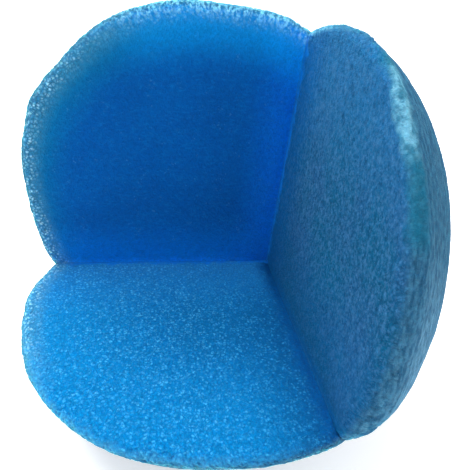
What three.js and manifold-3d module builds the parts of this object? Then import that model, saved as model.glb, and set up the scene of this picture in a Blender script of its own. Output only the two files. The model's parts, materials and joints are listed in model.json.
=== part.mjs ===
// Corner sponge filter: one block of open-cell foam, turned to a ball, with a square inside corner
// cut out of it. The three flat faces of the corner stand square to each other and meet at one point.
// Millimetres, +Z up. The origin is the middle of the flat that the block stands on, and the ball's
// centre is straight above it. The corner opens towards -X, -Y and +Z.

import * as THREE from 'three';
import Module from 'manifold-3d';
import { mergeVertices } from 'three/addons/utils/BufferGeometryUtils.js';

// Driving dimensions
const ballDiameter = 100; // the foam ball that the block is cut from
const standingFlatWidth = 40; // round flat under the block, wide enough to stand on with the corner cut away
const floorOffset = 23.6; // from the ball's centre down to the corner's floor face
const backOffset = 20.8; // from the ball's centre across to the corner's back face, along +Y
const sideOffset = 20.8; // from the ball's centre across to the corner's side face, along +X

// Fineness of the faceted ball
const ringFacets = 64;
const arcSteps = 30;

// What follows from them
const ballRadius = ballDiameter / 2;
const flatRadius = standingFlatWidth / 2;
const centreHeight = Math.sqrt(ballRadius ** 2 - flatRadius ** 2);
const cutterSize = ballDiameter; // the corner lies inside the ball, so this reaches clear of it

const manifold = await Module();
manifold.setup();

// A closed geometry as a solid that can be cut. Only positions are kept, shared corners are merged,
// and the triangles that the merge flattens at the poles are dropped.
function toSolid(geometry) {
  const bare = geometry.clone();
  bare.deleteAttribute('normal');
  bare.deleteAttribute('uv');
  const merged = mergeVertices(bare);
  const index = merged.index.array;
  const corners = [];
  for (let i = 0; i < index.length; i += 3) {
    const [a, b, c] = index.slice(i, i + 3);
    if (a !== b && b !== c && c !== a) corners.push(a, b, c);
  }
  const mesh = new manifold.Mesh({
    numProp: 3,
    vertProperties: new Float32Array(merged.attributes.position.array),
    triVerts: new Uint32Array(corners),
  });
  return new manifold.Manifold(mesh);
}

function toGeometry(solid) {
  const mesh = solid.getMesh();
  const geometry = new THREE.BufferGeometry();
  geometry.setAttribute('position', new THREE.BufferAttribute(mesh.vertProperties, 3));
  geometry.setIndex(new THREE.BufferAttribute(mesh.triVerts, 1));
  geometry.computeVertexNormals();
  return geometry;
}

// The ball about its own centre: a flat disc below, then one arc from the disc's edge to the top.
function makeBall() {
  const startAngle = Math.asin(flatRadius / ballRadius);
  const profile = [new THREE.Vector2(0, -centreHeight)];
  for (let step = 0; step < arcSteps; step += 1) {
    const angle = startAngle + ((Math.PI - startAngle) * step) / arcSteps;
    profile.push(new THREE.Vector2(ballRadius * Math.sin(angle), -ballRadius * Math.cos(angle)));
  }
  profile.push(new THREE.Vector2(0, ballRadius));
  return new THREE.LatheGeometry(profile, ringFacets).rotateX(Math.PI / 2);
}

// The square block that is cut away: its corner is the point where the three faces meet.
function makeCornerCutter() {
  const half = cutterSize / 2;
  const cutter = new THREE.BoxGeometry(cutterSize, cutterSize, cutterSize);
  return cutter.translate(sideOffset - half, backOffset - half, half - floorOffset);
}

function makeFoamBody() {
  const foam = new THREE.MeshStandardMaterial({ color: 0x2b82c4, roughness: 0.95, metalness: 0 });
  const solid = toSolid(makeBall()).subtract(toSolid(makeCornerCutter()));
  const body = new THREE.Mesh(toGeometry(solid), foam);
  body.name = 'foam_body';
  body.position.set(0, 0, centreHeight);
  return body;
}

const spongeFilter = new THREE.Group();
spongeFilter.add(makeFoamBody());

export default spongeFilter;
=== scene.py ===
import json
import math
import bpy
import numpy as np
from mathutils import Matrix, Vector
from types import SimpleNamespace


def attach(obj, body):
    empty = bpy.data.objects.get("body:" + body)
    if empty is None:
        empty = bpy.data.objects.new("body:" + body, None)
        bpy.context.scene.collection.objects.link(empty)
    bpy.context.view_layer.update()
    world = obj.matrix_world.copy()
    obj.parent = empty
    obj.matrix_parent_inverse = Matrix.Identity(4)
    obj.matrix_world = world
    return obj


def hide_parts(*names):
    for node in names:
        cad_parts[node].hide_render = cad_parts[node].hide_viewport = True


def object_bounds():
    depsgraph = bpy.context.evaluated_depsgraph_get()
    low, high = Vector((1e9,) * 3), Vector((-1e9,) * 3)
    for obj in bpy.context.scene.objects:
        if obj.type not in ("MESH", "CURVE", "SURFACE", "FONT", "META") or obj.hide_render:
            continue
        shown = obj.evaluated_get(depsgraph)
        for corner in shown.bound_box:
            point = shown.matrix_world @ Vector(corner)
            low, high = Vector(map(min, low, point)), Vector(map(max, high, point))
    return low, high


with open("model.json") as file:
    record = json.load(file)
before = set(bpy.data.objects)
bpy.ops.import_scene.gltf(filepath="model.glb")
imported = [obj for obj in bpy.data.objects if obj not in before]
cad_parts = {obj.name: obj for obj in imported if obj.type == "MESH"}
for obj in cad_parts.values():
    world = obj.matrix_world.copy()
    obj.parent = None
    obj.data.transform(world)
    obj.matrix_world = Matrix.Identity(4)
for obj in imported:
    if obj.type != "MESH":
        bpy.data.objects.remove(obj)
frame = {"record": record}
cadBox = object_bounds()

# the corner point and the ball come from the frame
mountPoint = {m["name"]: m["pos_m"] for m in frame["record"]["mounts"]}
cornerPoint = np.array([
    mountPoint["corner_side_face"][0],
    mountPoint["corner_back_face"][1],
    mountPoint["corner_floor_face"][2],
])
ballRadius = cadBox[1].x
# the block's highest point is on the side face's rim, where Y is 0, and it gives the centre's height
ballCentre = np.array([0.0, 0.0, cadBox[1].z - math.sqrt(ballRadius**2 - cornerPoint[0]**2)])

# Lengths are in metres. A turn is an angle in degrees round the corner's diagonal: 0 is where the floor
# face meets the back face at the rim, 120 where it meets the side face, and 240 where the side face
# meets the back face.
foam = {
    "columns": 960,            # mesh columns round the corner's diagonal, a multiple of three
    "faceRows": 180,           # rows from the corner point out to the rim
    "rimRows": 14,             # rows over the rounded rim
    "skinRows": 170,           # rows from the rim to the back of the ball
    "crowd": 0.35,             # how much closer the rows lie at the rim than on average
    "rimRound": 0.0013,        # radius of the rims
    "softRims": [(70, 34, 0.0009), (152, 26, 0.0022)],    # turn, spread and extra radius
    "flatBlend": 0.0006,       # how softly the standing flat runs into the ball
    "seamGroove": 0.0002,      # how deep the inner seams beside the side face are pressed
    "seamWidth": 0.0012,
    "seamEnd": 0.004,          # the groove fades out over this length before the rim
    "sideSeamsOnly": 0.25,     # how fast the groove fades away from the side face
    "cellPitch": 0.00075,      # spacing of the cells that the mesh itself carries
    "cellWall": 0.55,          # width of their walls, as a share of the pitch
    "faceRelief": 0.00011,     # cell depth on the cut faces
    "rimRelief": 0.00042,      # cell depth on the torn rims
    "rimBand": 0.0028,         # half width of the band with torn relief
    "skinRelief": 0.00014,     # depth of the cells and streaks on the ball's skin
    "skinStarts": 0.003,       # the skin's relief comes in over this length at the rim
    "streakPitch": 0.0011,     # spacing of the skin's streaks, which run along the rim
    "streaksRound": 9,         # how often they break up, going round
    "streakReach": 0.036,      # how far back from the rim the streaks go
    "streakFade": 0.022,       # the last stretch, where they turn to plain cells
    "cellsUnderStreaks": 0.4,  # share of the cell depth that is left under the streaks
    "rimTear": 0.00016,        # how far lumps and nicks move the rim
    "tearPitch": 0.0026,       # spacing of the lumps
    "nicksFiner": 2.1,         # how much closer the nicks are than the lumps
    "nickShare": 0.5,          # their height, against the lumps'
    "sag": 0.00013,            # slow waves over all surfaces
    "sagPitch": 0.017,
    "rimDepth": 0.008,         # how far in from a rim its swells and hollows reach
    "rimReach": 0.00056,       # how far the hand-cut rims stand out beyond the ball
    # swells and hollows of the rims: turn, spread and height
    "rimSwells": [
        (9, 8, 0.0012), (91, 16, -0.00175), (120, 7, 0.0015), (208, 9, 0.0002), (242, 6, 0.0010),
        (257, 6, -0.00075), (285, 15, 0.0009), (314, 8, 0.0010), (344, 10, -0.00115),
        (358, 5, 0.0008),
    ],
    # how far a cut face's colour runs on over its rim: turn, spread and run
    "cutRunsOver": [(70, 46, 0.0022), (209, 11, 0.0016)],
    "cutBlend": 0.0015,        # how softly that colour ends
    # the side face's rim is smoother than the others: turn, spread and share taken off its relief
    "calmRims": [(178, 46, 0.65)],
    # swells and hollows of the ball's skin: place, spread and height
    "skinSwells": [
        ((0.027, -0.041, 0.033), 0.010, 0.0020),
        ((0.030, -0.009, 0.085), 0.010, 0.0004),
        ((0.040, -0.024, 0.062), 0.0185, -0.00104),
        ((0.034, -0.036, 0.044), 0.009, 0.0004),
    ],
    "seeds": {"cells": 3, "lumps": 11, "nicks": 12, "waves": 21, "streaks": 31},
    # the two round islands of the UV map: their radius, and the middle of each in u and v
    "islandRadius": 0.288,
    "islandMiddles": (0.296, 0.704),
}


def unit(v):
    return v / np.linalg.norm(v, axis=-1, keepdims=True)


def smooth(x):
    # 0 below 0, 1 above 1, and an S curve between them
    x = np.clip(x, 0.0, 1.0)
    return x * x * (3 - 2 * x)


def scatter(cells, seed):
    # a repeatable number from 0 to 1 for each whole-number lattice point, mixed by multiply and shift
    h = cells[..., 0] * 73856093 ^ cells[..., 1] * 19349663 ^ cells[..., 2] * 83492791
    h = (h + seed * 2654435761) & 0xFFFFFFFF
    h = ((h ^ (h >> 16)) * 73244475) & 0xFFFFFFFF
    h = ((h ^ (h >> 16)) * 73244475) & 0xFFFFFFFF
    return ((h ^ (h >> 16)) & 0xFFFFFF) / 16777215.0


def softNoise(points, pitch, seed):
    # value noise: lattice numbers blended over each cube by a smooth step, from -1 to 1
    q = points / pitch
    base = np.floor(q).astype(np.int64)
    f = smooth(q - base)
    total = np.zeros(len(points))
    for corner in np.ndindex(2, 2, 2):
        weight = np.prod(np.where(corner, f, 1 - f), axis=-1)
        total += weight * scatter(base + corner, seed)
    return total * 2 - 1


def cellNoise(points, pitch, seed):
    # distance to the nearest and next nearest of the centres scattered one to each lattice cube
    q = points / pitch
    base = np.floor(q).astype(np.int64)
    near = np.full(len(points), np.inf)
    nextNear = near.copy()
    for step in np.ndindex(3, 3, 3):
        cube = base + np.array(step) - 1
        centre = np.stack([scatter(cube, seed + k) for k in range(3)], axis=-1)
        d = np.linalg.norm(cube + centre - q, axis=-1)
        nextNear = np.minimum(nextNear, np.maximum(near, d))
        near = np.minimum(near, d)
    return near, nextNear


def bells(turn, places):
    # sum of bell curves over the turn, each with its place, spread and height
    total = np.zeros(len(turn))
    for at, spread, height in places:
        away = (np.degrees(turn) - at + 180) % 360 - 180
        total += height * np.exp(-(away / spread) ** 2)
    return total


def profileGrid():
    # For each turn about the corner's diagonal: a straight line from the corner point along the cut
    # face, an arc of rimRound over the rim, then the ball's own circle to the pole at the back.
    along = unit(np.array([-1.0, -1.0, 1.0]))
    first = unit(np.array([-1.0, 0.0, 0.0]) - along * -along[0])
    second = np.cross(along, first)
    turn = np.arange(foam["columns"]) * 2 * math.pi / foam["columns"]
    out = np.cos(turn)[:, None] * first + np.sin(turn)[:, None] * second
    faceNormals = np.array([[0.0, 0.0, 1.0], [0.0, -1.0, 0.0], [-1.0, 0.0, 0.0]])
    lean = -out @ faceNormals.T
    face = lean.argmax(axis=1)
    opening = np.arctan2(1.0, math.sqrt(3) * lean.max(axis=1))
    ray = np.cos(opening)[:, None] * along + np.sin(opening)[:, None] * out
    into = -np.sin(opening)[:, None] * along + np.cos(opening)[:, None] * out

    # in each profile's plane, x runs along the cut face and y into the foam
    centre = ballCentre - cornerPoint
    cx = ray @ centre
    cy = into @ centre
    circle = np.sqrt(ballRadius**2 - (np.cross(along, out) @ centre) ** 2)
    r = foam["rimRound"] + bells(turn, foam["softRims"])
    rimX = cx + np.sqrt((circle - r) ** 2 - (r - cy) ** 2)
    rimEnd = np.arctan2(r - cy, rimX - cx)
    depth = -along @ centre + math.sqrt((along @ centre) ** 2 - centre @ centre + ballRadius**2)
    poleAngle = np.arctan2(depth * np.sin(opening) - cy, -depth * np.cos(opening) - cx)
    poleAngle = np.where(poleAngle < rimEnd, poleAngle + 2 * math.pi, poleAngle)

    faceStep = np.arange(1, foam["faceRows"] + 1)[:, None] / foam["faceRows"]
    rimStep = np.arange(1, foam["rimRows"] + 1)[:, None] / foam["rimRows"]
    skinStep = np.arange(1, foam["skinRows"])[:, None] / foam["skinRows"]
    faceStep = faceStep + foam["crowd"] * faceStep * (1 - faceStep)
    skinStep = skinStep - foam["crowd"] * skinStep * (1 - skinStep)
    faceX = faceStep * rimX
    rimAngle = -math.pi / 2 + rimStep * (rimEnd + math.pi / 2)
    skinAngle = rimEnd + skinStep * (poleAngle - rimEnd)
    x = np.vstack([faceX, rimX + r * np.cos(rimAngle), cx + circle * np.cos(skinAngle)])
    y = np.vstack([faceX * 0, r + r * np.sin(rimAngle), cy + circle * np.sin(skinAngle)])
    points = cornerPoint + x[..., None] * ray + y[..., None] * into

    # length run along each profile, from the corner point, and to the middle of the rim
    rimLength = r * (rimEnd + math.pi / 2)
    toRim = rimX + rimLength / 2
    run = np.vstack([
        faceX,
        rimX + r * (rimAngle + math.pi / 2),
        rimX + rimLength + circle * (skinAngle - rimEnd),
    ])
    return {
        "points": points,
        "apex": cornerPoint,
        "pole": cornerPoint - depth * along,
        "fromRim": toRim - run,    # positive on the cut faces, negative on the skin
        "toRim": toRim,
        "turn": turn,
        "ray": ray,
        "face": face,
        "length": rimX + rimLength + circle * (poleAngle - rimEnd),
    }


def gridNormals(points, apex, pole):
    # cross product of the step down the profile and the step to the next column, which points outwards
    first = np.broadcast_to(apex, points[:1].shape)
    last = np.broadcast_to(pole, points[:1].shape)
    full = np.concatenate([first, points, last])
    down = full[2:] - full[:-2]
    across = np.roll(points, -1, axis=1) - np.roll(points, 1, axis=1)
    return unit(np.cross(down, across))


def shapedPoints(grid):
    # each swell is a bell curve: over the turn at the rims, over distance on the skin
    reach = foam["rimReach"] + bells(grid["turn"], foam["rimSwells"])
    near = np.exp(-(grid["fromRim"] / foam["rimDepth"]) ** 2)
    points = grid["points"] + (near * reach)[..., None] * grid["ray"]
    normals = gridNormals(points, grid["apex"], grid["pole"])
    for at, spread, height in foam["skinSwells"]:
        far = np.linalg.norm(points - np.array(at), axis=-1)
        points = points + normals * (height * np.exp(-(far / spread) ** 2))[..., None]
    return points


def allRows(values, grid):
    # one value for each column, repeated down the rows and laid out flat
    return np.broadcast_to(values, grid["fromRim"].shape).reshape(-1)


def bodyPoints(grid):
    # each point moves along its normal by: cells, lumps and nicks of the rim, streaks, waves and grooves
    points = shapedPoints(grid)
    flat = points.reshape(-1, 3)
    fromRim = grid["fromRim"].reshape(-1)
    normals = gridNormals(points, grid["apex"], grid["pole"]).reshape(-1, 3)
    seeds = foam["seeds"]

    # how much a point belongs to the rim, to the skin, to its streaked part, and to a seam
    atRim = np.exp(-(fromRim / foam["rimBand"]) ** 2)
    onSkin = smooth(0.5 - fromRim / foam["skinStarts"])
    onCut = (1 - onSkin) * (1 - atRim)
    streaky = smooth((fromRim + foam["streakReach"]) / foam["streakFade"])
    calm = 1 - allRows(bells(grid["turn"], foam["calmRims"]), grid)
    fromFaces = np.sort(np.abs(flat - cornerPoint), axis=1)
    fromSeam = np.maximum(fromFaces[:, 1], foam["sideSeamsOnly"] * np.abs(flat[:, 0] - cornerPoint[0]))
    atSeam = np.exp(-(fromSeam / foam["seamWidth"]) ** 2) * smooth(fromRim / foam["seamEnd"])

    near, nextNear = cellNoise(flat, foam["cellPitch"], seeds["cells"])
    walls = 1 - smooth((nextNear - near) / foam["cellWall"])
    lumps = softNoise(flat, foam["tearPitch"], seeds["lumps"])
    nicks = softNoise(flat, foam["tearPitch"] / foam["nicksFiner"], seeds["nicks"])
    wave = softNoise(flat, foam["sagPitch"], seeds["waves"])
    combed = np.stack([
        fromRim / foam["streakPitch"],
        allRows(np.cos(grid["turn"]) * foam["streaksRound"], grid),
        allRows(np.sin(grid["turn"]) * foam["streaksRound"], grid),
    ], axis=-1)
    streak = softNoise(combed, 1.0, seeds["streaks"])

    depth = foam["faceRelief"] * onCut + foam["rimRelief"] * atRim * calm
    depth += foam["skinRelief"] * onSkin * (1 - (1 - foam["cellsUnderStreaks"]) * streaky)
    move = (walls - 0.5) * depth
    move += (lumps + foam["nickShare"] * nicks) * foam["rimTear"] * atRim
    move += streak * foam["skinRelief"] * onSkin * streaky
    move += wave * foam["sag"] * (1 - atSeam)
    move -= foam["seamGroove"] * atSeam
    flat = flat + normals * move[:, None]

    # the standing flat: heights below the floor ease up to it
    z = flat[:, 2]
    flat[:, 2] = np.maximum(0.0, (z + np.sqrt(z * z + foam["flatBlend"] ** 2)) / 2)
    return flat


def makeFoamBody():
    grid = profileGrid()
    rows, columns = grid["fromRim"].shape
    flat = bodyPoints(grid)
    pole = grid["pole"].copy()
    pole[2] = max(pole[2], 0.0)
    points = np.vstack([flat, grid["apex"], pole])
    apexIndex = rows * columns
    poleIndex = apexIndex + 1

    # quads between rows, and a fan of triangles at each end
    i = np.arange(rows - 1)[:, None] * columns
    j = np.arange(columns)[None, :]
    k = (j + 1) % columns
    quads = np.stack([i + j, i + columns + j, i + columns + k, i + k], axis=-1).reshape(-1, 4)
    column = np.arange(columns)
    after = (column + 1) % columns
    last = (rows - 1) * columns
    apexFan = np.stack([np.full(columns, apexIndex), column, after], axis=-1)
    poleFan = np.stack([np.full(columns, poleIndex), last + after, last + column], axis=-1)
    corners = np.concatenate([quads.reshape(-1), apexFan.reshape(-1), poleFan.reshape(-1)])
    sizes = np.concatenate([np.full(len(quads), 4), np.full(2 * columns, 3)])
    starts = np.concatenate([[0], np.cumsum(sizes)[:-1]])

    mesh = bpy.data.meshes.new("foam_block")
    mesh.vertices.add(len(points))
    mesh.vertices.foreach_set("co", points.astype(np.float32).reshape(-1))
    mesh.loops.add(len(corners))
    mesh.loops.foreach_set("vertex_index", corners.astype(np.int32))
    mesh.polygons.add(len(sizes))
    mesh.polygons.foreach_set("loop_start", starts.astype(np.int32))
    mesh.polygons.foreach_set("use_smooth", np.ones(len(sizes), bool))
    mesh.update(calc_edges=True)
    mesh.validate()
    addFoamAttributes(mesh, grid, flat)
    addFoamMap(mesh, grid, corners, sizes)

    piece = bpy.data.objects.new("foam_block", mesh)
    bpy.context.scene.collection.objects.link(piece)
    print("foam_block:", len(points), "points,", len(sizes), "faces")
    return piece


def addFoamAttributes(mesh, grid, flat):
    # values that the foam's material reads, with the corner point's and the pole's own at the end
    def store(name, values, ends):
        layer = mesh.attributes.new(name, "FLOAT", "POINT")
        layer.data.foreach_set("value", np.concatenate([values, ends]).astype(np.float32))

    fromRim = grid["fromRim"].reshape(-1)
    fromCutRim = fromRim + allRows(bells(grid["turn"], foam["cutRunsOver"]), grid)
    rimEnds = [grid["toRim"].mean(), -1.0]
    store("fromRim", fromRim, rimEnds)
    store("fromCutRim", fromCutRim, rimEnds)
    for index, name in enumerate(["fromSide", "fromBack", "fromFloor"]):
        store(name, np.abs(flat[:, index] - cornerPoint[index]), [0.0, 1.0])
    onCut = smooth(fromCutRim / foam["cutBlend"])
    faceOf = allRows(grid["face"], grid)
    for index, name in enumerate(["floorFace", "backFace", "sideFace"]):
        store(name, onCut * (faceOf == index), [0.33, 0.0])
    store("turnCos", allRows(np.cos(grid["turn"]), grid), [0.0, 0.0])
    store("turnSin", allRows(np.sin(grid["turn"]), grid), [0.0, 0.0])


def addFoamMap(mesh, grid, corners, sizes):
    # two round islands, one for the cut faces and one for the ball's skin, that meet at the rim
    rows, columns = grid["fromRim"].shape
    ends = [0.0, 0.0]
    shareIn = np.append(1 - grid["fromRim"] / grid["toRim"], ends)
    shareOut = np.append(1 + grid["fromRim"] / (grid["length"] - grid["toRim"]), ends)
    rimRow = foam["faceRows"] + foam["rimRows"] // 2 - 1
    quadRows = np.repeat(np.arange(rows - 1), columns)
    faceRow = np.concatenate([quadRows, np.full(columns, -1), np.full(columns, rows)])
    inner = np.repeat(faceRow < rimRow, sizes)
    radius = np.where(inner, shareIn[corners], shareOut[corners]) * foam["islandRadius"]
    turn = np.where(corners >= rows * columns, 0.0, grid["turn"][corners % columns])
    middle = np.where(inner, *foam["islandMiddles"])
    u = middle + radius * np.cos(turn)
    v = middle + radius * np.sin(turn) * np.where(inner, 1, -1)
    layer = mesh.uv_layers.new(name="OFBake")
    layer.data.foreach_set("uv", np.stack([u, v], axis=-1).astype(np.float32).reshape(-1))


# A layer is a mask's name, its ramp, its share and its colour. The ramp is where it starts and where it
# is full, and sometimes how unevenly it runs; None takes the mask as it is. Later layers cover earlier ones.
foamLook = {
    "cellsPerMetre": 1900,
    # within a cell: distance from its centre where the core ends and is full, and from its edge for walls
    "core": (0.62, 0.12),
    "walls": (0.16, 0.0),
    "dotChance": (0.25, 1.0),  # which cells have a light dot, faint to full
    # the four cell patterns: cells per metre as a share of cellsPerMetre, and how jumbled they are
    "cellPatterns": {
        "fine": (1.0, 1.6),
        "skin": (0.62, 1.6),
        "floor": (0.70, 1.4),
        "lace": (0.66, 0.6),
    },
    # noises: how many to the metre, and detail
    "noises": {
        "mottle": (60, 3), "patch": (230, 2), "wobble": (420, 2), "blotch": (640, 2), "grain": (1500, 1),
    },
    # noises stretched along an axis: how many to the metre, detail, and the scale of X, Y and Z
    "stretchedNoises": {"upright": (950, 2, (1.0, 1.0, 0.60)), "level": (1700, 2, (0.4, 1.0, 1.0))},
    # streaks along the rims: how many to the metre across them, how many breaks round, and detail
    "streakNoises": {"skinStreak": (1500, 26, 3), "rimStreak": (860, 85, 2)},
    # masks round the rim: turn where each is strongest, and how many degrees it reaches either way
    "turns": {
        "backRim": (300, 72), "topRim": (256, 36), "topNotch": (240, 13), "leftNotch": (10, 40),
        "lacyRim": (345, 62), "hazyRim": (58, 64), "paleSkin": (127, 46),
        "tealStreak": (188, 26), "paleStreak": (195, 14), "faintStreak": (188, 24), "streakShift": (212, 20),
    },
    # masks across the rim: distance in from its middle where each starts and where it is full
    "reaches": {
        "backSoak": (0.0125, 0.0005), "topSoak": (0.0160, 0.0005), "notchSoak": (0.0120, 0.0020),
        "lace": (0.0062, 0.0010), "holes": (0.0048, 0.0004), "rimStreaks": (0.0042, 0.0004),
        "inside": (-0.0003, 0.0006), "insideTop": (-0.0020, -0.0010),
        "outerLineIn": (0.0008, -0.0002), "outerLineOut": (-0.0042, -0.0024),
        "topEdgeIn": (0.0007, -0.0008), "topEdgeOut": (-0.0030, -0.0014),
    },
    # ramps over the masks: their two ends, and what they give there where that isn't 0 and 1
    "ramps": {
        # the floor face's sparkling cells, the grain between them, and the painted glow along its thin front
        # rim
        "sparkles": (0.22, 0.88), "sparkleDims": (0.030, 0.004), "grain": (0.48, 0.72),
        "haze": (0.0034, 0.0008),
        # patches of specks on the back face
        "specks": (0.56, 0.72),
        # where the back face's rim is lacy, and how that and its painted glow change along it and at the top
        "lacePart": (0.0, 0.3), "lacy": (0.0, 0.7, (0.28, 1.0)), "offTop": (0.1, 0.8, (1.0, 0.15)),
        "glow": (0.1, 0.8, (0.45, 0.20)), "topColour": (0.1, 0.8), "holes": (0.0, 0.7, (0.30, 1.0)),
        "topHoles": (0.1, 0.7, (0.0, 0.9)), "topInside": (0.1, 0.7, (0.0, 0.75)),
        "rimStreaks": (0.44, 0.62),
        # the side rim's streak of painted light, across the rim and along it
        "streakIn": (0.0022, 0.0), "streakOut": (-0.0036, -0.0010),
        "blotchy": (0.34, 0.64, (0.22, 1.0)), "teal": (0.0, 0.5), "pale": (0.0, 0.8),
        # the pale stretch of skin, painted light bounced up from below: its streaks, where it starts faintly
        # at the rim, and where it ends
        "paleStreaks": (0.32, 0.68), "paleStarts": (-0.0005, -0.0065, (0.15, 1.0)),
        "paleEnds": (-0.034, -0.012),
    },
    # how much there is of each, against a full mask
    "shares": {
        "skinDots": 0.25, "grain": 0.35, "leftNotchLace": 0.80, "laceOffSide": 0.75, "faintStreak": 0.12,
    },
    # how unevenly the distances run, and how far the side rim's streak is shifted at its upper end
    "uneven": {"rims": 0.0014, "haze": 0.0030, "streak": 0.0030},
    "streakShift": 0.0014,
    "sparkle": (0.055, 0.390, 0.720),
    # the sparkle's colour beside the side face, dimmed by painted shade
    "dimSparkle": (0.022, 0.250, 0.520),
    # pale colours of the lace's holes: painted light shining through the thin rim
    "fringe": (0.360, 0.680, 0.820),
    "topFringe": (0.250, 0.650, 0.850),
    # the ball's skin: streaks along the rims that fade to plain cells further back
    "skinBase": (0.010, 0.066, 0.140),
    "skin": [
        ("skinStreak", (0.32, 0.68), 1.0, (0.030, 0.130, 0.228)),
        ("fromRim", (-0.014, -0.034), 1.0, "skinCellColour"),
        # painted light: a pale stretch of skin stands for light bounced up from below
        ("paleSkin", None, 0.85, "paleSkinColour"),
    ],
    "skinCellDark": (0.012, 0.078, 0.168),
    "skinCellWall": (0.026, 0.125, 0.235),
    "skinCellDot": (0.060, 0.230, 0.400),
    # the colours of that pale stretch of painted bounce light
    "bounceLitSkinDark": (0.030, 0.120, 0.225),
    "bounceLitSkinLight": (0.115, 0.270, 0.420),
    # the cut faces are one foam; each gets its own colours, partly painted light and shade for how light
    # falls on it
    "floorFaceBase": (0.0005, 0.104, 0.285),
    "floorFace": [
        ("mottle", (0.3, 0.7), 1.0, (0.001, 0.118, 0.325)),
        ("fromRim", (0.034, 0.003), 1.0, (0.0005, 0.175, 0.440)),
        # painted shade darkens the floor face towards the side face; painted light lifts it towards the back
        # face, against the shade of that seam
        ("fromSide", (0.022, 0.0), 1.0, (0.0005, 0.066, 0.205)),
        ("fromBack", (0.026, 0.004), 1.0, (0.007, 0.168, 0.470)),
        ("fromBack", (0.009, 0.0), 1.0, (0.013, 0.200, 0.540)),
        ("floorGrain", None, 0.52, "sparkleColour"),
        ("floorWalls", None, 0.38, (0.0005, 0.060, 0.190)),
        # the same painted shade and light, close along the two seams
        ("fromSide", (0.0050, 0.0002, 0.0040), 1.0, (0.0003, 0.060, 0.215)),
        ("fromBack", (0.0017, 0.0002, 0.0044), 1.0, (0.0030, 0.165, 0.620)),
        # painted glow along the floor face's thin front rim
        ("floorHaze", None, 0.60, (0.060, 0.300, 0.500)),
    ],
    "backFaceBase": (0.0002, 0.086, 0.330),
    "backFace": [
        ("mottle", (0.3, 0.7), 1.0, (0.0003, 0.098, 0.365)),
        # painted light: the back face is lighter towards the floor and side faces, lightest along the floor
        # seam, against the shade in those seams
        ("fromFloor", (0.016, 0.0), 1.0, (0.0002, 0.165, 0.640)),
        ("fromFloor", (0.0022, 0.0, 0.0030), 1.0, (0.0040, 0.220, 0.820)),
        ("fromSide", (0.014, 0.0), 1.0, (0.0002, 0.135, 0.620)),
        ("level", (0.52, 0.70), 0.22, (0.004, 0.180, 0.520)),
        ("level", (0.46, 0.30), 0.25, (0.0002, 0.060, 0.260)),
        ("backSpecks", None, 0.40, (0.080, 0.300, 0.600)),
    ],
    # the side face is greyer, a painted sheen of light grazing it
    "sideFaceBase": (0.002, 0.069, 0.150),
    "sideFace": [
        ("mottle", (0.35, 0.65), 1.0, (0.009, 0.067, 0.167)),
        ("fromFloor", (0.035, 0.068), 1.0, (0.010, 0.105, 0.255)),
        # painted shade and blue bounce light: darker and bluer towards the back face
        ("fromBack", (0.020, 0.0), 1.0, (0.0004, 0.072, 0.235)),
        ("upright", (0.50, 0.70), 0.50, (0.034, 0.132, 0.272)),
        ("upright", (0.48, 0.30), 0.46, (0.002, 0.036, 0.096)),
        ("grain", (0.50, 0.70), 0.42, (0.034, 0.132, 0.272)),
        ("grain", (0.46, 0.32), 0.30, (0.002, 0.036, 0.096)),
        ("fineDots", None, 0.30, (0.060, 0.190, 0.390)),
        # painted shade and blue bounce light: darker and bluer towards both seams, lifted by painted light
        # right along the floor seam, and a saturated blue right along the back seam
        ("fromBack", (0.016, 0.001), 0.50, (0.0002, 0.082, 0.260)),
        ("fromFloor", (0.034, 0.004), 0.45, (0.0002, 0.076, 0.228)),
        ("fromFloor", (0.0044, 0.0, 0.0040), 1.0, (0.0010, 0.090, 0.275)),
        ("fromBack", (0.0024, 0.0002, 0.0050), 1.0, (0.0006, 0.150, 0.580)),
    ],
    "rims": [
        # light soaks in along the back face's rim: teal all along, azure at the top, blue by the notch
        ("backSoak", None, 0.75, (0.002, 0.190, 0.350)),
        ("topSoak", None, 0.76, (0.001, 0.292, 0.775)),
        ("notchSoak", None, 0.45, (0.0005, 0.320, 0.830)),
        # the thin rim is pale with a painted glow and lacy, its pale holes painted light shining through,
        # with a darker line on its outer side, and a lighter line of painted glow at the top
        ("rimGlow", None, 1.0, (0.060, 0.310, 0.520)),
        ("laceHoles", None, 0.90, "fringeColour"),
        ("laceNet", None, 0.80, (0.030, 0.125, 0.205)),
        ("outerLine", None, 0.80, (0.030, 0.125, 0.205)),
        ("topEdge", None, 0.40, (0.080, 0.340, 0.560)),
        # the side face's thin rim has a blotchy light streak, painted light caught by the rim, that turns
        # teal and fades downwards
        ("tealStreak", None, 0.75, (0.003, 0.105, 0.185)),
        ("paleStreak", None, 0.90, (0.110, 0.300, 0.420)),
    ],
    "cellShade": (0.88, 1.12),       # how much darker and lighter single cells are
    "roughness": (0.82, 0.98),       # of single cells
    "bump": 0.7,
    "bumpDepth": 0.00022,
    "skinCellBump": 0.8,             # of the coarser cells and the streaks, against the fine cells' 1
    "streakBump": 0.6,
    "gloss": 0.06,
    "softness": 0.6,                 # how much light passes under the surface, how far, and in which colours
    "softDepth": 0.004,
    "softColours": (0.25, 0.8, 1.0),
}


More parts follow.
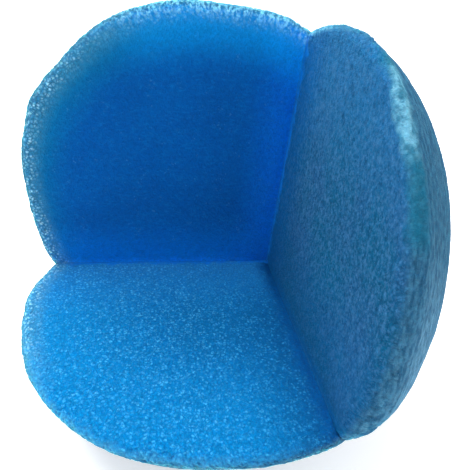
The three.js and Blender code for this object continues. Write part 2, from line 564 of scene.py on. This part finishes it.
def nodeKit(tree):
    # short ways to add and join nodes; a value may be a number or another node's output
    def add(kind, **settings):
        node = tree.nodes.new(kind)
        for key, value in settings.items():
            setattr(node, key, value)
        return node

    def feed(socket, value):
        if isinstance(value, (int, float)):
            socket.default_value = value
        elif isinstance(value, tuple):
            socket.default_value = (*value, 1.0)
        else:
            tree.links.new(value, socket)

    def calc(operation, a, b):
        node = add("ShaderNodeMath", operation=operation)
        feed(node.inputs[0], a)
        feed(node.inputs[1], b)
        return node.outputs[0]

    def times(value, *others):
        for other in others:
            value = calc("MULTIPLY", value, other)
        return value

    def ramp(value, low, high, to=(0.0, 1.0)):
        node = add("ShaderNodeMapRange", interpolation_type="SMOOTHSTEP")
        feed(node.inputs["Value"], value)
        for name, end in zip(["From Min", "From Max", "To Min", "To Max"], (low, high, *to)):
            node.inputs[name].default_value = end
        return node.outputs["Result"]

    def mix(factor, a, b, blend="MIX"):
        node = add("ShaderNodeMix", data_type="RGBA", blend_type=blend)
        feed(node.inputs[0], factor)
        feed(node.inputs[6], a)
        feed(node.inputs[7], b)
        return node.outputs[2]

    def shifted(distance, noise, amount):
        # the distance, made uneven by a noise
        return calc("ADD", distance, times(calc("SUBTRACT", noise, 0.5), amount))

    def attribute(name):
        return add("ShaderNodeAttribute", attribute_name=name).outputs["Fac"]

    def vector(*values):
        node = add("ShaderNodeCombineXYZ")
        for socket, value in zip(node.inputs, values):
            feed(socket, value)
        return node.outputs[0]

    def noise(place, perMetre, detail):
        node = add("ShaderNodeTexNoise")
        node.inputs["Scale"].default_value = perMetre
        node.inputs["Detail"].default_value = detail
        feed(node.inputs["Vector"], place)
        return node.outputs["Fac"]

    return SimpleNamespace(
        add=add, feed=feed, calc=calc, times=times, ramp=ramp, mix=mix,
        shifted=shifted, attribute=attribute, vector=vector, noise=noise,
    )


def cellsGroup():
    # foam cells: a light dot in some cells, the walls between them, each cell's core, and a shade for each
    tree = bpy.data.node_groups.new("foamCells", "ShaderNodeTree")
    tree.interface.new_socket("Position", in_out="INPUT", socket_type="NodeSocketVector")
    for name in ("Cells per metre", "Jumble"):
        tree.interface.new_socket(name, in_out="INPUT", socket_type="NodeSocketFloat")
    for name in ("Dot", "Walls", "Core", "Shade"):
        tree.interface.new_socket(name, in_out="OUTPUT", socket_type="NodeSocketFloat")
    kit = nodeKit(tree)
    given = kit.add("NodeGroupInput").outputs
    result = kit.add("NodeGroupOutput").inputs

    # the position is moved by a noise, so that the cells don't look like a plain pattern
    jumble = kit.add("ShaderNodeTexNoise")
    jumble.inputs["Detail"].default_value = 1.0
    kit.feed(jumble.inputs["Vector"], given["Position"])
    kit.feed(jumble.inputs["Scale"], given["Cells per metre"])
    centred = kit.add("ShaderNodeVectorMath", operation="SUBTRACT")
    kit.feed(centred.inputs[0], jumble.outputs["Color"])
    centred.inputs[1].default_value = (0.5, 0.5, 0.5)
    scaled = kit.add("ShaderNodeVectorMath", operation="SCALE")
    kit.feed(scaled.inputs[0], centred.outputs[0])
    kit.feed(scaled.inputs["Scale"], kit.calc("DIVIDE", given["Jumble"], given["Cells per metre"]))
    moved = kit.add("ShaderNodeVectorMath", operation="ADD")
    kit.feed(moved.inputs[0], given["Position"])
    kit.feed(moved.inputs[1], scaled.outputs[0])

    near = kit.add("ShaderNodeTexVoronoi", feature="F1")
    edge = kit.add("ShaderNodeTexVoronoi", feature="DISTANCE_TO_EDGE")
    for node in (near, edge):
        kit.feed(node.inputs["Vector"], moved.outputs[0])
        kit.feed(node.inputs["Scale"], given["Cells per metre"])
    chance = kit.add("ShaderNodeSeparateColor")
    kit.feed(chance.inputs["Color"], near.outputs["Color"])
    core = kit.ramp(near.outputs["Distance"], *foamLook["core"])
    kit.feed(result["Core"], core)
    kit.feed(result["Dot"], kit.times(kit.ramp(chance.outputs[0], *foamLook["dotChance"]), core))
    kit.feed(result["Walls"], kit.ramp(edge.outputs["Distance"], *foamLook["walls"]))
    kit.feed(result["Shade"], chance.outputs[1])
    return tree


def foamCellPatterns(kit, place, foamCells):
    patterns = {}
    for name, (size, jumble) in foamLook["cellPatterns"].items():
        node = kit.add("ShaderNodeGroup", node_tree=foamCells)
        kit.feed(node.inputs["Position"], place)
        node.inputs["Cells per metre"].default_value = foamLook["cellsPerMetre"] * size
        node.inputs["Jumble"].default_value = jumble
        patterns[name] = node.outputs
    return patterns


def foamNoises(kit, place, turnX, turnY, fromRim):
    noises = {name: kit.noise(place, *given) for name, given in foamLook["noises"].items()}
    for name, (perMetre, detail, scale) in foamLook["stretchedNoises"].items():
        mapping = kit.add("ShaderNodeMapping")
        mapping.inputs["Scale"].default_value = scale
        kit.feed(mapping.inputs["Vector"], place)
        noises[name] = kit.noise(mapping.outputs[0], perMetre, detail)
    for name, (across, breaks, detail) in foamLook["streakNoises"].items():
        combed = kit.vector(kit.times(fromRim, across), kit.times(turnX, breaks), kit.times(turnY, breaks))
        noises[name] = kit.noise(combed, 1.0, detail)
    return noises


def turnMasks(kit, turnX, turnY):
    # 1 at a turn, falling off on both sides
    masks = {}
    for name, (degrees, narrow) in foamLook["turns"].items():
        a = math.radians(degrees)
        facing = kit.calc("ADD", kit.times(turnX, math.cos(a)), kit.times(turnY, math.sin(a)))
        masks[name] = kit.ramp(facing, math.cos(math.radians(narrow)), 1.0)
    return masks


def addSkinMasks(kit, masks, cells, turns):
    look = foamLook
    ramps = look["ramps"]
    skinCells = kit.mix(cells["skin"]["Walls"], look["skinCellDark"], look["skinCellWall"])
    dots = kit.times(cells["skin"]["Dot"], look["shares"]["skinDots"])
    masks["skinCellColour"] = kit.mix(dots, skinCells, look["skinCellDot"])
    # the pale stretch of skin is painted light bounced up from below
    streaks = kit.ramp(masks["skinStreak"], *ramps["paleStreaks"])
    masks["paleSkinColour"] = kit.mix(streaks, look["bounceLitSkinDark"], look["bounceLitSkinLight"])
    starts = kit.ramp(masks["fromRim"], *ramps["paleStarts"])
    ends = kit.ramp(masks["fromRim"], *ramps["paleEnds"])
    masks["paleSkin"] = kit.times(starts, ends, turns["paleSkin"])


def addFaceMasks(kit, masks, cells, turns):
    # the floor face sparkles, less so beside the side face where painted shade dims it, and its thin front
    # rim has a painted glow
    look = foamLook
    ramps = look["ramps"]
    sparkles = kit.times(cells["floor"]["Core"], kit.ramp(cells["floor"]["Shade"], *ramps["sparkles"]))
    grain = kit.times(kit.ramp(masks["grain"], *ramps["grain"]), look["shares"]["grain"])
    masks["floorGrain"] = kit.calc("ADD", grain, sparkles)
    # painted shade dims the sparkle beside the side face
    nearSide = kit.ramp(masks["fromSide"], *ramps["sparkleDims"])
    masks["sparkleColour"] = kit.mix(nearSide, look["sparkle"], look["dimSparkle"])
    masks["floorWalls"] = cells["floor"]["Walls"]
    # the painted glow along the floor face's thin front rim
    fromCutRim = kit.shifted(kit.attribute("fromCutRim"), masks["wobble"], look["uneven"]["haze"])
    masks["floorHaze"] = kit.times(kit.ramp(fromCutRim, *ramps["haze"]), turns["hazyRim"])

    # the back face has patches of specks, and the side face fine dots
    masks["backSpecks"] = kit.times(cells["fine"]["Dot"], kit.ramp(masks["wobble"], *ramps["specks"]))
    masks["fineDots"] = cells["fine"]["Dot"]


def addSoakMasks(kit, masks, reach, turns):
    # light that soaks into the back face from its rim
    masks["backSoak"] = kit.times(reach["backSoak"], masks["backFace"], turns["backRim"])
    masks["topSoak"] = kit.times(reach["topSoak"], masks["backFace"], turns["topRim"])
    masks["notchSoak"] = kit.times(reach["notchSoak"], masks["backFace"], turns["topNotch"])


def addLaceMasks(kit, masks, cells, reach, turns):
    ramps = foamLook["ramps"]
    shares = foamLook["shares"]
    topRim = turns["topRim"]

    # the lace lies along the back face's rim and a little past both its ends, fainter on the side face
    lacePart = kit.calc("MAXIMUM", kit.ramp(turns["backRim"], *ramps["lacePart"]), topRim)
    lacePart = kit.calc("MAXIMUM", lacePart, kit.times(turns["leftNotch"], shares["leftNotchLace"]))
    offSide = kit.calc("SUBTRACT", 1.0, kit.times(masks["sideFace"], shares["laceOffSide"]))
    lacePart = kit.times(lacePart, offSide)
    lace = kit.times(reach["lace"], reach["inside"], lacePart)
    lacy = kit.ramp(turns["lacyRim"], *ramps["lacy"])
    offTop = kit.ramp(topRim, *ramps["offTop"])
    # painted glow of light through the thin rim, weaker at the top
    masks["rimGlow"] = kit.times(lace, kit.ramp(topRim, *ramps["glow"]))
    masks["laceNet"] = kit.times(lace, cells["lace"]["Walls"], offTop, lacy)

    # its holes are the pale cores of the cells, painted light shining through the thin rim, and at the top
    # also streaks across the rim
    holes = kit.times(cells["lace"]["Core"], kit.ramp(cells["lace"]["Shade"], *ramps["holes"]))
    holes = kit.times(holes, kit.calc("MAXIMUM", lacy, kit.ramp(topRim, *ramps["topHoles"])))
    streaks = kit.ramp(masks["rimStreak"], *ramps["rimStreaks"])
    streaks = kit.times(streaks, topRim, reach["rimStreaks"])
    insideTop = kit.times(reach["insideTop"], kit.ramp(topRim, *ramps["topInside"]))
    inside = kit.calc("MAXIMUM", reach["inside"], insideTop)
    masks["laceHoles"] = kit.times(kit.calc("MAXIMUM", holes, streaks), reach["holes"], inside, lacePart)
    atTop = kit.ramp(topRim, *ramps["topColour"])
    masks["fringeColour"] = kit.mix(atTop, foamLook["fringe"], foamLook["topFringe"])
    masks["outerLine"] = kit.times(reach["outerLineIn"], reach["outerLineOut"], lacePart, offTop)
    masks["topEdge"] = kit.times(reach["topEdgeIn"], reach["topEdgeOut"], topRim)


def addStreakMasks(kit, masks, turns):
    # the side rim's streak of painted light caught by the thin rim
    ramps = foamLook["ramps"]
    run = kit.shifted(masks["fromRim"], masks["patch"], foamLook["uneven"]["streak"])
    run = kit.calc("ADD", run, kit.times(turns["streakShift"], foamLook["streakShift"]))
    sideRim = kit.times(kit.ramp(run, *ramps["streakIn"]), kit.ramp(run, *ramps["streakOut"]))
    masks["tealStreak"] = kit.times(sideRim, kit.ramp(turns["tealStreak"], *ramps["teal"]))
    faint = kit.times(turns["faintStreak"], foamLook["shares"]["faintStreak"])
    pale = kit.calc("ADD", kit.ramp(turns["paleStreak"], *ramps["pale"]), faint)
    masks["paleStreak"] = kit.times(pale, kit.ramp(masks["blotch"], *ramps["blotchy"]), sideRim)


def layered(kit, masks, colour, layers):
    for name, ends, share, over in layers:
        mask = masks[name]
        if ends is not None:
            start, full, *uneven = ends
            for amount in uneven:
                mask = kit.shifted(mask, masks["wobble"], amount)
            mask = kit.ramp(mask, start, full)
        colour = kit.mix(kit.times(mask, share), colour, masks.get(over, over))
    return colour


def foamMaterial(foamCells):
    material = bpy.data.materials.new("blueFoam")
    material.use_nodes = True
    tree = material.node_tree
    tree.nodes.clear()
    kit = nodeKit(tree)
    shader = kit.add("ShaderNodeBsdfPrincipled")
    output = kit.add("ShaderNodeOutputMaterial")
    kit.feed(output.inputs["Surface"], shader.outputs[0])

    place = kit.add("ShaderNodeTexCoord").outputs["Object"]
    turnX = kit.attribute("turnCos")
    turnY = kit.attribute("turnSin")
    names = ["fromRim", "fromSide", "fromBack", "fromFloor", "floorFace", "backFace", "sideFace"]
    masks = {name: kit.attribute(name) for name in names}
    cells = foamCellPatterns(kit, place, foamCells)
    turns = turnMasks(kit, turnX, turnY)
    masks.update(foamNoises(kit, place, turnX, turnY, masks["fromRim"]))
    addSkinMasks(kit, masks, cells, turns)
    addFaceMasks(kit, masks, cells, turns)
    near = kit.shifted(masks["fromRim"], masks["wobble"], foamLook["uneven"]["rims"])
    reach = {name: kit.ramp(near, *ends) for name, ends in foamLook["reaches"].items()}
    addSoakMasks(kit, masks, reach, turns)
    addLaceMasks(kit, masks, cells, reach, turns)
    addStreakMasks(kit, masks, turns)

    colour = layered(kit, masks, foamLook["skinBase"], foamLook["skin"])
    # each cut face's own colours carry part of its painted light and shade
    for face in ("floorFace", "backFace", "sideFace"):
        faceColour = layered(kit, masks, foamLook[face + "Base"], foamLook[face])
        colour = kit.mix(masks[face], colour, faceColour)
    colour = layered(kit, masks, colour, foamLook["rims"])
    darkest, lightest = foamLook["cellShade"]
    shade = kit.calc("ADD", kit.times(cells["fine"]["Shade"], lightest - darkest), darkest)
    kit.feed(shader.inputs["Base Color"], kit.mix(1.0, colour, shade, "MULTIPLY"))

    skinCellHeight = kit.times(cells["skin"]["Walls"], foamLook["skinCellBump"])
    streakHeight = kit.times(masks["skinStreak"], foamLook["streakBump"])
    height = kit.calc("ADD", kit.calc("ADD", cells["fine"]["Walls"], skinCellHeight), streakHeight)
    bump = kit.add("ShaderNodeBump")
    bump.inputs["Strength"].default_value = foamLook["bump"]
    bump.inputs["Distance"].default_value = foamLook["bumpDepth"]
    kit.feed(bump.inputs["Height"], height)
    kit.feed(shader.inputs["Normal"], bump.outputs[0])
    kit.feed(shader.inputs["Roughness"], kit.ramp(cells["fine"]["Shade"], 0.0, 1.0, foamLook["roughness"]))
    shader.inputs["Specular IOR Level"].default_value = foamLook["gloss"]
    shader.inputs["Subsurface Weight"].default_value = foamLook["softness"]
    shader.inputs["Subsurface Radius"].default_value = foamLook["softColours"]
    shader.inputs["Subsurface Scale"].default_value = foamLook["softDepth"]
    return material


floorLook = {
    "colour": (0.95, 0.95, 0.95),
    "roughness": 0.9,
    "halfSize": 2.5,
    "glow": 0.30,
}


def makeFloor():
    h = floorLook["halfSize"]
    mesh = bpy.data.meshes.new("studioFloor")
    mesh.from_pydata([(-h, -h, 0), (h, -h, 0), (h, h, 0), (-h, h, 0)], [], [(0, 1, 2, 3)])
    floor = bpy.data.objects.new("studioFloor", mesh)
    bpy.context.scene.collection.objects.link(floor)
    material = bpy.data.materials.new("paleFloor")
    material.use_nodes = True
    shader = material.node_tree.nodes["Principled BSDF"]
    shader.inputs["Base Color"].default_value = (*floorLook["colour"], 1.0)
    shader.inputs["Roughness"].default_value = floorLook["roughness"]
    shader.inputs["Emission Color"].default_value = (1.0, 1.0, 1.0, 1.0)
    shader.inputs["Emission Strength"].default_value = floorLook["glow"]
    mesh.materials.append(material)


camera = {
    "aim": (-0.0090, 0.0059, 0.0053),    # from the corner point
    "azimuth": -15.32,
    "elevation": 31.60,
    "distance": 0.1443,
    "roll": 8.09,
    "lens": 36.77,
    "sensorWidth": 36.0,
    "clip": (0.005, 20.0),
}


def makeCamera():
    data = bpy.data.cameras.new("camera")
    data.lens = camera["lens"]
    data.sensor_width = camera["sensorWidth"]
    data.clip_start, data.clip_end = camera["clip"]
    thing = bpy.data.objects.new("camera", data)
    bpy.context.scene.collection.objects.link(thing)
    a = math.radians(camera["azimuth"])
    e = math.radians(camera["elevation"])
    back = Vector((math.sin(a) * math.cos(e), -math.cos(a) * math.cos(e), math.sin(e)))
    aim = Vector(cornerPoint) + Vector(camera["aim"])
    turn = (-back).to_track_quat("-Z", "Y").to_matrix().to_4x4()
    roll = Matrix.Rotation(math.radians(camera["roll"]), 4, "Z")
    thing.matrix_world = Matrix.Translation(aim + back * camera["distance"]) @ turn @ roll
    bpy.context.scene.camera = thing


lights = {
    # name: (direction from the block, distance, size, power, colour)
    "topSoftbox": ((-0.30, 0.25, 0.93), 0.70, 0.60, 9.0, (1.0, 1.0, 1.0)),
    "frontFill": ((-0.45, -0.80, 0.45), 1.10, 0.90, 2.0, (1.0, 0.99, 0.97)),
}
worldLight = 1.0


def makeLights():
    centre = Vector(ballCentre)
    for name, (direction, distance, size, power, colour) in lights.items():
        data = bpy.data.lights.new(name, "AREA")
        data.shape = "DISK"
        data.size = size
        data.energy = power
        data.color = colour
        lamp = bpy.data.objects.new(name, data)
        bpy.context.scene.collection.objects.link(lamp)
        towards = Vector(direction).normalized()
        lamp.location = centre + towards * distance
        lamp.rotation_mode = "QUATERNION"
        lamp.rotation_quaternion = (-towards).to_track_quat("-Z", "Y")
    world = bpy.data.worlds.new("studioWorld")
    bpy.context.scene.world = world
    world.use_nodes = True
    background = world.node_tree.nodes["Background"]
    background.inputs["Color"].default_value = (1.0, 1.0, 1.0, 1.0)
    background.inputs["Strength"].default_value = worldLight
    bpy.context.scene.view_settings.view_transform = "Standard"


foamBlock = makeFoamBody()
foamBlock.data.materials.append(foamMaterial(cellsGroup()))
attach(foamBlock, "root")
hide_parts("foam_body")
print("foam block finished")

makeFloor()
makeCamera()
makeLights()
print("stage, camera and lights finished")
